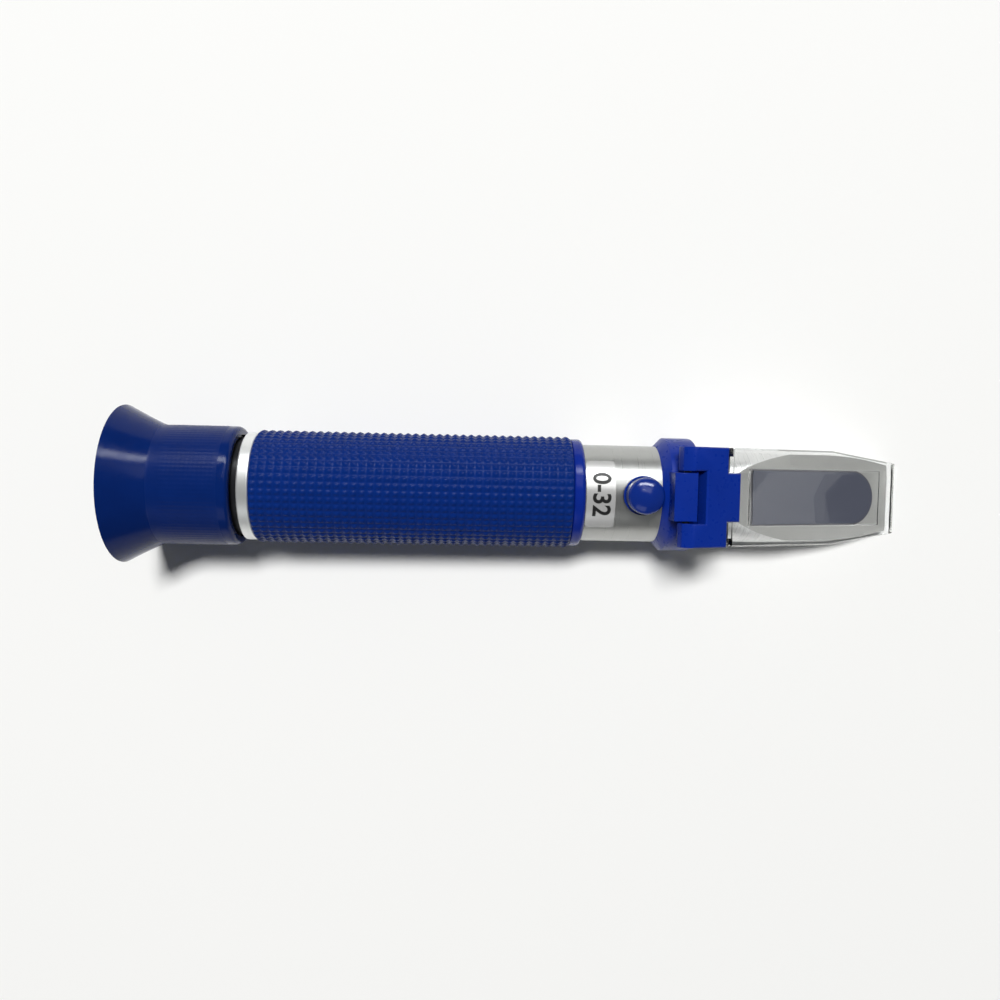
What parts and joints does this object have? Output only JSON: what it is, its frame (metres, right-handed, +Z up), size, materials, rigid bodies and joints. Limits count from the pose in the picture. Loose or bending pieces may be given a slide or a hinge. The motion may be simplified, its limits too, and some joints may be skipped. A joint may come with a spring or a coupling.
{
  "type": "refractometer",
  "caption": "Hand-held refractometer with a flared eyecup, ribbed rubber grip, screw-focus eyepiece, wedge prism and a clear hinged cover plate.",
  "frame": {"origin": "on the surface, below the middle of the instrument, level with the lowest point of the eyecup rim", "axes": "+X along the optical axis from the eyepiece to the prism, +Z up through the calibration cap, +Y to the left when looking along +X"},
  "size_m": [0.1816, 0.0362, 0.0362],
  "materials": {
    "eyecup_rubber": "smooth soft rubber with a fine texture on the sleeve",
    "grip_rubber": "ribbed and cross-cut soft rubber",
    "cap_rubber": "glossy rubber",
    "blue_plastic": "glossy moulded plastic",
    "clear_acrylic": "polished clear acrylic",
    "prism_glass": "polished optical glass",
    "black_seal": "dark sealing compound",
    "satin_aluminium": "satin anodised",
    "holder_aluminium": "satin, fine blasted",
    "black_plastic": "matte moulded",
    "black_aluminium": "black anodised",
    "lens_glass": "polished optical glass",
    "bimetal": "rolled strip",
    "brass": "turned",
    "steel": "turned",
    "silver_label": "satin silver film"
  },
  "bodies": {
    "barrel": {"barrel_tube": "satin_aluminium", "rear_ring": "satin_aluminium", "rubber_grip": "grip_rubber", "range_label": "silver_label", "front_collar": "blue_plastic", "collar_set_screws": "steel", "prism_holder": "holder_aluminium", "main_prism": "prism_glass", "prism_seal": "black_seal", "calibration_bush": "brass", "bimetal_strip": "bimetal", "strip_anchor": "brass", "anchor_screw": "steel", "guide_screw": "steel", "reticle_ring": "black_aluminium", "reticle": "lens_glass", "baffle_tube": "black_aluminium"},
    "eyepiece_tube": {"lens_tube": "black_aluminium", "eye_lens": "lens_glass", "field_lens": "lens_glass", "lens_spacer": "black_aluminium", "lens_retainer": "black_aluminium"},
    "eyepiece_ring": {"focusing_ring": "black_plastic", "eyecup": "eyecup_rubber"},
    "cover": {"cover_bracket": "blue_plastic", "daylight_plate": "clear_acrylic", "hinge_pin": "steel"},
    "cap": {"calibration_cap": "cap_rubber"},
    "objective": {"lens_cell": "black_aluminium", "objective_lens": "lens_glass", "objective_retainer": "black_aluminium"},
    "adjuster": {"calibration_screw": "brass"}
  },
  "joints": [
    {"name": "cover_swing", "type": "hinge", "parent": "barrel", "child": "cover", "pos_m": [0.03557, 0, 0.0333], "axis": [0, -1, 0], "range_deg": [0, 110]},
    {"name": "cap_pull", "type": "slide", "parent": "barrel", "child": "cap", "axis": [0, 0, 1], "range_m": [0, 0.008]},
    {"name": "focus_travel", "type": "slide", "parent": "barrel", "child": "eyepiece_tube", "axis": [-1, 0, 0], "range_m": [-0.0012, 0.0035]},
    {"name": "focus_turn", "type": "hinge", "parent": "eyepiece_tube", "child": "eyepiece_ring", "pos_m": [-0.07283, 0, 0.0181], "axis": [-1, 0, 0], "range_deg": [-72, 210]},
    {"name": "calibration_shift", "type": "slide", "parent": "barrel", "child": "objective", "axis": [0, 0, 1], "range_m": [-0.0004, 0.0004], "deforming": ["bimetal_strip"]},
    {"name": "calibration_turn", "type": "hinge", "parent": "objective", "child": "adjuster", "pos_m": [0.02662, 0, 0.02935], "axis": [0, 0, 1], "range_deg": [-288, 288]}
  ],
  "couplings": [
    {"joint": "focus_travel", "follows": "focus_turn", "m_per_rad": 0.00095492},
    {"joint": "calibration_turn", "follows": "calibration_shift", "rad_per_m": 12566}
  ]
}
